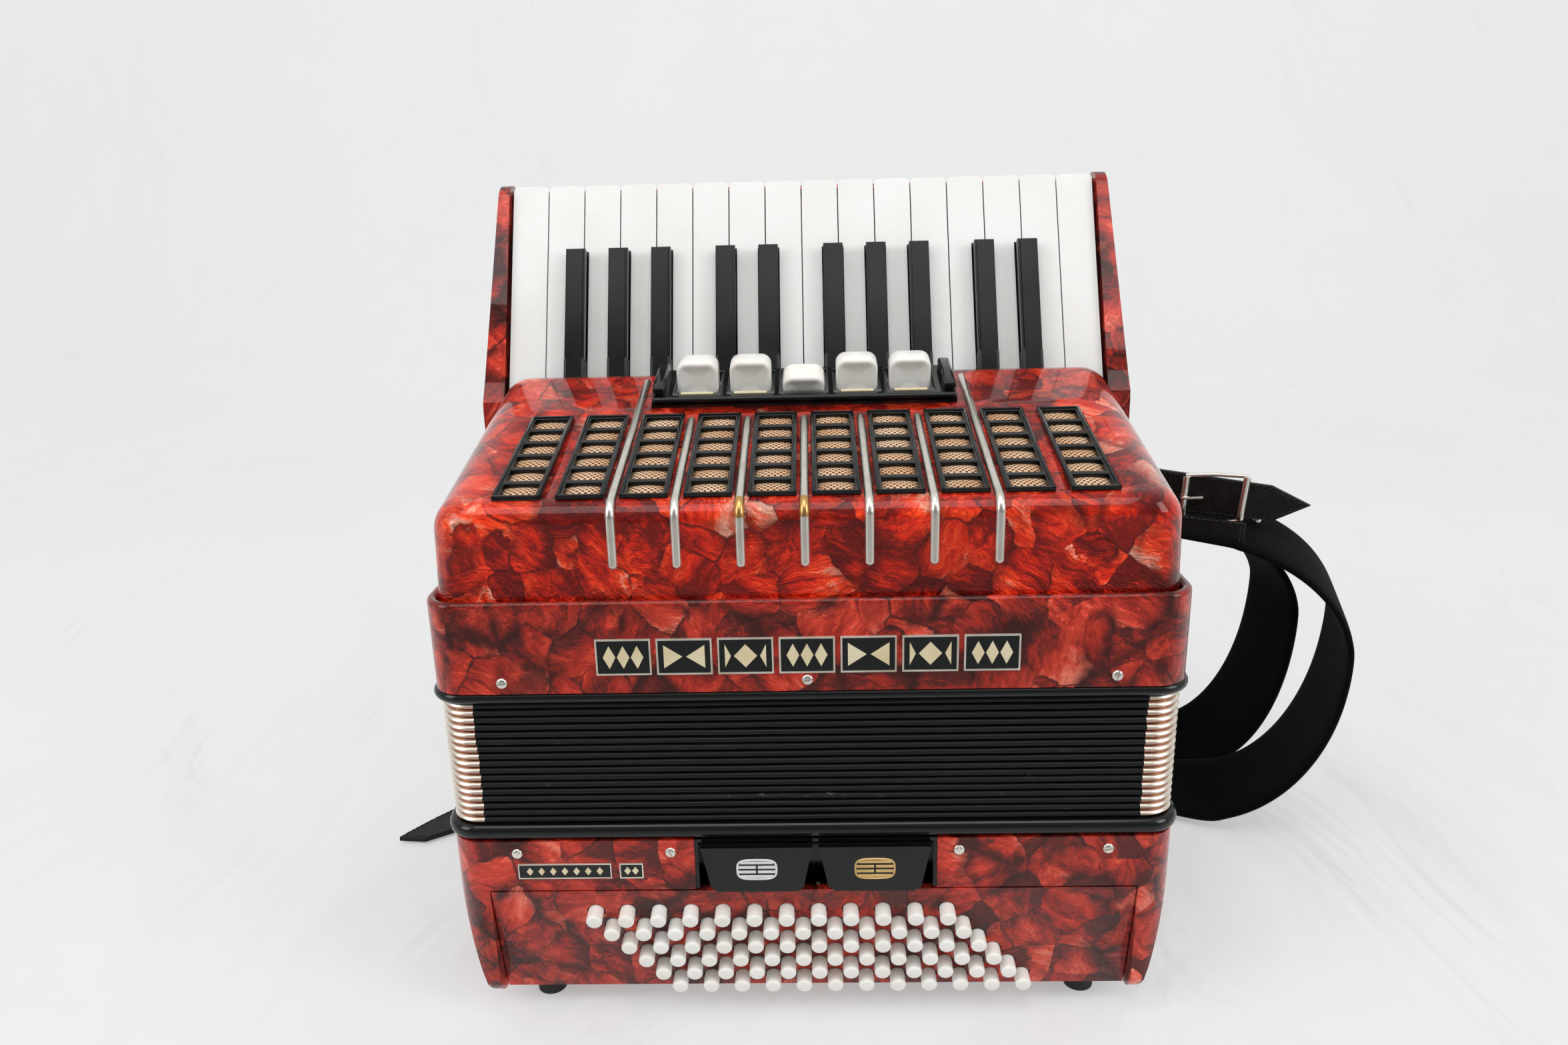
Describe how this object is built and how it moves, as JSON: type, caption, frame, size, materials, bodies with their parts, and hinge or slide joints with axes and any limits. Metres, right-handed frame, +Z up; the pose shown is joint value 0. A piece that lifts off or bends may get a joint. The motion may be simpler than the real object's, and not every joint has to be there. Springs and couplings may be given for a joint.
{
  "type": "piano accordion",
  "caption": "Small piano accordion on its bass feet: keyboard, closed bellows, slanted button board, grille cover with register rockers, looped shoulder straps.",
  "frame": {"origin": "centre of the whole footprint, straps included, on the floor under the feet", "axes": "+X along the keyboard towards the end with the hanging strap loops, +Y from the button side of the case towards the keyboard side's back, +Z up, the way the bellows open"},
  "size_m": [0.5156, 0.2704, 0.3555],
  "materials": {
    "red_pearloid": "polished red pearl celluloid",
    "black_gloss": "polished black",
    "bellows_cloth": "black bellows cloth over card",
    "nickel": "aged nickel plate",
    "axle_steel": "drawn steel rod",
    "reed_wood": "bare wood",
    "rubber": "black rubber",
    "leather": "black leather and velvet",
    "white_celluloid": "polished white key covering",
    "black_celluloid": "polished black key covering",
    "white_plastic": "cream-white plastic"
  },
  "bodies": {
    "bass_section": {"bass_box": "red_pearloid", "button_board": "red_pearloid", "register_bay": "black_gloss", "bass_bellows_frame": "black_gloss", "bass_reed_bank": "reed_wood", "bass_feet": "rubber", "hand_strap": "leather", "bass_screws": "nickel", "bellows": "bellows_cloth"},
    "treble_section": {"treble_bellows_frame": "black_gloss", "treble_rim": "red_pearloid", "treble_reed_bank": "reed_wood", "treble_screws": "nickel", "grille_cover": "red_pearloid", "grille_panels": "black_gloss", "grille_strips": "nickel", "register_frame": "black_gloss", "keyboard_base": "red_pearloid", "key_axle": "axle_steel", "strap_fittings": "nickel", "shoulder_straps": "leather"},
    "white_key_1": {"white_key_1": "white_celluloid"},
    "white_key_2": {"white_key_2": "white_celluloid"},
    "white_key_3": {"white_key_3": "white_celluloid"},
    "white_key_4": {"white_key_4": "white_celluloid"},
    "white_key_5": {"white_key_5": "white_celluloid"},
    "white_key_6": {"white_key_6": "white_celluloid"},
    "white_key_7": {"white_key_7": "white_celluloid"},
    "white_key_8": {"white_key_8": "white_celluloid"},
    "white_key_9": {"white_key_9": "white_celluloid"},
    "white_key_10": {"white_key_10": "white_celluloid"},
    "white_key_11": {"white_key_11": "white_celluloid"},
    "white_key_12": {"white_key_12": "white_celluloid"},
    "white_key_13": {"white_key_13": "white_celluloid"},
    "white_key_14": {"white_key_14": "white_celluloid"},
    "white_key_15": {"white_key_15": "white_celluloid"},
    "white_key_16": {"white_key_16": "white_celluloid"},
    "black_key_1": {"black_key_1": "black_celluloid"},
    "black_key_2": {"black_key_2": "black_celluloid"},
    "black_key_3": {"black_key_3": "black_celluloid"},
    "black_key_4": {"black_key_4": "black_celluloid"},
    "black_key_5": {"black_key_5": "black_celluloid"},
    "black_key_6": {"black_key_6": "black_celluloid"},
    "black_key_7": {"black_key_7": "black_celluloid"},
    "black_key_8": {"black_key_8": "black_celluloid"},
    "black_key_9": {"black_key_9": "black_celluloid"},
    "black_key_10": {"black_key_10": "black_celluloid"},
    "register_rocker_1": {"register_rocker_1": "white_plastic"},
    "register_rocker_2": {"register_rocker_2": "white_plastic"},
    "register_rocker_3": {"register_rocker_3": "white_plastic"},
    "register_rocker_4": {"register_rocker_4": "white_plastic"},
    "register_rocker_5": {"register_rocker_5": "white_plastic"},
    "bass_register_left": {"bass_register_left": "black_gloss"},
    "bass_register_right": {"bass_register_right": "black_gloss"},
    "bass_buttons_row_1": {"bass_buttons_row_1": "white_plastic"},
    "bass_buttons_row_2": {"bass_buttons_row_2": "white_plastic"},
    "bass_buttons_row_3": {"bass_buttons_row_3": "white_plastic"},
    "bass_buttons_row_4": {"bass_buttons_row_4": "white_plastic"},
    "bass_buttons_row_5": {"bass_buttons_row_5": "white_plastic"},
    "bass_buttons_row_6": {"bass_buttons_row_6": "white_plastic"}
  },
  "joints": [
    {"name": "bellows_open", "type": "slide", "parent": "bass_section", "child": "treble_section", "axis": [0, 0, 1], "range_m": [0, 0.25], "deforming": ["bellows"]},
    {"name": "white_key_1_press", "type": "hinge", "parent": "treble_section", "child": "white_key_1", "pos_m": [-0.16257, 0.01628, 0.24028], "axis": [1, 0, 0], "range_deg": [-2.4, 0], "stiffness_Nm_per_rad": 0.6, "springref_deg": 6.88},
    {"name": "white_key_2_press", "type": "hinge", "parent": "treble_section", "child": "white_key_2", "pos_m": [-0.14408, 0.01628, 0.24028], "axis": [1, 0, 0], "range_deg": [-2.4, 0], "stiffness_Nm_per_rad": 0.6, "springref_deg": 6.88},
    {"name": "white_key_3_press", "type": "hinge", "parent": "treble_section", "child": "white_key_3", "pos_m": [-0.12557, 0.01628, 0.24028], "axis": [1, 0, 0], "range_deg": [-2.4, 0], "stiffness_Nm_per_rad": 0.6, "springref_deg": 6.88},
    {"name": "white_key_4_press", "type": "hinge", "parent": "treble_section", "child": "white_key_4", "pos_m": [-0.10708, 0.01628, 0.24028], "axis": [1, 0, 0], "range_deg": [-2.4, 0], "stiffness_Nm_per_rad": 0.6, "springref_deg": 6.88},
    {"name": "white_key_5_press", "type": "hinge", "parent": "treble_section", "child": "white_key_5", "pos_m": [-0.08858, 0.01628, 0.24028], "axis": [1, 0, 0], "range_deg": [-2.4, 0], "stiffness_Nm_per_rad": 0.6, "springref_deg": 6.88},
    {"name": "white_key_6_press", "type": "hinge", "parent": "treble_section", "child": "white_key_6", "pos_m": [-0.07007, 0.01628, 0.24028], "axis": [1, 0, 0], "range_deg": [-2.4, 0], "stiffness_Nm_per_rad": 0.6, "springref_deg": 6.88},
    {"name": "white_key_7_press", "type": "hinge", "parent": "treble_section", "child": "white_key_7", "pos_m": [-0.05158, 0.01628, 0.24028], "axis": [1, 0, 0], "range_deg": [-2.4, 0], "stiffness_Nm_per_rad": 0.6, "springref_deg": 6.88},
    {"name": "white_key_8_press", "type": "hinge", "parent": "treble_section", "child": "white_key_8", "pos_m": [-0.03308, 0.01628, 0.24028], "axis": [1, 0, 0], "range_deg": [-2.4, 0], "stiffness_Nm_per_rad": 0.6, "springref_deg": 6.88},
    {"name": "white_key_9_press", "type": "hinge", "parent": "treble_section", "child": "white_key_9", "pos_m": [-0.01457, 0.01628, 0.24028], "axis": [1, 0, 0], "range_deg": [-2.4, 0], "stiffness_Nm_per_rad": 0.6, "springref_deg": 6.88},
    {"name": "white_key_10_press", "type": "hinge", "parent": "treble_section", "child": "white_key_10", "pos_m": [0.00392, 0.01628, 0.24028], "axis": [1, 0, 0], "range_deg": [-2.4, 0], "stiffness_Nm_per_rad": 0.6, "springref_deg": 6.88},
    {"name": "white_key_11_press", "type": "hinge", "parent": "treble_section", "child": "white_key_11", "pos_m": [0.02243, 0.01628, 0.24028], "axis": [1, 0, 0], "range_deg": [-2.4, 0], "stiffness_Nm_per_rad": 0.6, "springref_deg": 6.88},
    {"name": "white_key_12_press", "type": "hinge", "parent": "treble_section", "child": "white_key_12", "pos_m": [0.04093, 0.01628, 0.24028], "axis": [1, 0, 0], "range_deg": [-2.4, 0], "stiffness_Nm_per_rad": 0.6, "springref_deg": 6.88},
    {"name": "white_key_13_press", "type": "hinge", "parent": "treble_section", "child": "white_key_13", "pos_m": [0.05942, 0.01628, 0.24028], "axis": [1, 0, 0], "range_deg": [-2.4, 0], "stiffness_Nm_per_rad": 0.6, "springref_deg": 6.88},
    {"name": "white_key_14_press", "type": "hinge", "parent": "treble_section", "child": "white_key_14", "pos_m": [0.07792, 0.01628, 0.24028], "axis": [1, 0, 0], "range_deg": [-2.4, 0], "stiffness_Nm_per_rad": 0.6, "springref_deg": 6.88},
    {"name": "white_key_15_press", "type": "hinge", "parent": "treble_section", "child": "white_key_15", "pos_m": [0.09642, 0.01628, 0.24028], "axis": [1, 0, 0], "range_deg": [-2.4, 0], "stiffness_Nm_per_rad": 0.6, "springref_deg": 6.88},
    {"name": "white_key_16_press", "type": "hinge", "parent": "treble_section", "child": "white_key_16", "pos_m": [0.11492, 0.01628, 0.24028], "axis": [1, 0, 0], "range_deg": [-2.4, 0], "stiffness_Nm_per_rad": 0.6, "springref_deg": 6.88},
    {"name": "black_key_1_press", "type": "hinge", "parent": "treble_section", "child": "black_key_1", "pos_m": [-0.13783, 0.01628, 0.24028], "axis": [1, 0, 0], "range_deg": [-2.4, 0], "stiffness_Nm_per_rad": 0.6, "springref_deg": 6.88},
    {"name": "black_key_2_press", "type": "hinge", "parent": "treble_section", "child": "black_key_2", "pos_m": [-0.11632, 0.01628, 0.24028], "axis": [1, 0, 0], "range_deg": [-2.4, 0], "stiffness_Nm_per_rad": 0.6, "springref_deg": 6.88},
    {"name": "black_key_3_press", "type": "hinge", "parent": "treble_section", "child": "black_key_3", "pos_m": [-0.09483, 0.01628, 0.24028], "axis": [1, 0, 0], "range_deg": [-2.4, 0], "stiffness_Nm_per_rad": 0.6, "springref_deg": 6.88},
    {"name": "black_key_4_press", "type": "hinge", "parent": "treble_section", "child": "black_key_4", "pos_m": [-0.06232, 0.01628, 0.24028], "axis": [1, 0, 0], "range_deg": [-2.4, 0], "stiffness_Nm_per_rad": 0.6, "springref_deg": 6.88},
    {"name": "black_key_5_press", "type": "hinge", "parent": "treble_section", "child": "black_key_5", "pos_m": [-0.04083, 0.01628, 0.24028], "axis": [1, 0, 0], "range_deg": [-2.4, 0], "stiffness_Nm_per_rad": 0.6, "springref_deg": 6.88},
    {"name": "black_key_6_press", "type": "hinge", "parent": "treble_section", "child": "black_key_6", "pos_m": [-0.00833, 0.01628, 0.24028], "axis": [1, 0, 0], "range_deg": [-2.4, 0], "stiffness_Nm_per_rad": 0.6, "springref_deg": 6.88},
    {"name": "black_key_7_press", "type": "hinge", "parent": "treble_section", "child": "black_key_7", "pos_m": [0.01317, 0.01628, 0.24028], "axis": [1, 0, 0], "range_deg": [-2.4, 0], "stiffness_Nm_per_rad": 0.6, "springref_deg": 6.88},
    {"name": "black_key_8_press", "type": "hinge", "parent": "treble_section", "child": "black_key_8", "pos_m": [0.03467, 0.01628, 0.24028], "axis": [1, 0, 0], "range_deg": [-2.4, 0], "stiffness_Nm_per_rad": 0.6, "springref_deg": 6.88},
    {"name": "black_key_9_press", "type": "hinge", "parent": "treble_section", "child": "black_key_9", "pos_m": [0.06717, 0.01628, 0.24028], "axis": [1, 0, 0], "range_deg": [-2.4, 0], "stiffness_Nm_per_rad": 0.6, "springref_deg": 6.88},
    {"name": "black_key_10_press", "type": "hinge", "parent": "treble_section", "child": "black_key_10", "pos_m": [0.08868, 0.01628, 0.24028], "axis": [1, 0, 0], "range_deg": [-2.4, 0], "stiffness_Nm_per_rad": 0.6, "springref_deg": 6.88},
    {"name": "register_rocker_1_press", "type": "hinge", "parent": "treble_section", "child": "register_rocker_1", "pos_m": [-0.07343, 0.00228, 0.2574], "axis": [1, 0, 0], "range_deg": [0, 16]},
    {"name": "register_rocker_2_press", "type": "hinge", "parent": "treble_section", "child": "register_rocker_2", "pos_m": [-0.04863, 0.00228, 0.2574], "axis": [1, 0, 0], "range_deg": [0, 16]},
    {"name": "register_rocker_3_press", "type": "hinge", "parent": "treble_section", "child": "register_rocker_3", "pos_m": [-0.02382, 0.00228, 0.2574], "axis": [1, 0, 0], "range_deg": [-16, 0]},
    {"name": "register_rocker_4_press", "type": "hinge", "parent": "treble_section", "child": "register_rocker_4", "pos_m": [0.00097, 0.00228, 0.2574], "axis": [1, 0, 0], "range_deg": [0, 16]},
    {"name": "register_rocker_5_press", "type": "hinge", "parent": "treble_section", "child": "register_rocker_5", "pos_m": [0.02577, 0.00228, 0.2574], "axis": [1, 0, 0], "range_deg": [0, 16]},
    {"name": "bass_register_left_press", "type": "hinge", "parent": "bass_section", "child": "bass_register_left", "pos_m": [-0.04652, -0.12529, 0.086], "axis": [1, 0, 0], "range_deg": [0, 8], "stiffness_Nm_per_rad": 0.02, "springref_deg": -11.46},
    {"name": "bass_register_right_press", "type": "hinge", "parent": "bass_section", "child": "bass_register_right", "pos_m": [0.00287, -0.12529, 0.086], "axis": [1, 0, 0], "range_deg": [0, 8], "stiffness_Nm_per_rad": 0.02, "springref_deg": -11.46},
    {"name": "bass_buttons_row_1_press", "type": "slide", "parent": "bass_section", "child": "bass_buttons_row_1", "axis": [0, 0.9833, 0.1822], "range_m": [0, 0.003], "stiffness_N_per_m": 150, "springref_m": -0.004},
    {"name": "bass_buttons_row_2_press", "type": "slide", "parent": "bass_section", "child": "bass_buttons_row_2", "axis": [0, 0.9833, 0.1822], "range_m": [0, 0.003], "stiffness_N_per_m": 150, "springref_m": -0.004},
    {"name": "bass_buttons_row_3_press", "type": "slide", "parent": "bass_section", "child": "bass_buttons_row_3", "axis": [0, 0.9833, 0.1822], "range_m": [0, 0.003], "stiffness_N_per_m": 150, "springref_m": -0.004},
    {"name": "bass_buttons_row_4_press", "type": "slide", "parent": "bass_section", "child": "bass_buttons_row_4", "axis": [0, 0.9833, 0.1822], "range_m": [0, 0.003], "stiffness_N_per_m": 150, "springref_m": -0.004},
    {"name": "bass_buttons_row_5_press", "type": "slide", "parent": "bass_section", "child": "bass_buttons_row_5", "axis": [0, 0.9833, 0.1822], "range_m": [0, 0.003], "stiffness_N_per_m": 150, "springref_m": -0.004},
    {"name": "bass_buttons_row_6_press", "type": "slide", "parent": "bass_section", "child": "bass_buttons_row_6", "axis": [0, 0.9833, 0.1822], "range_m": [0, 0.003], "stiffness_N_per_m": 150, "springref_m": -0.004}
  ]
}
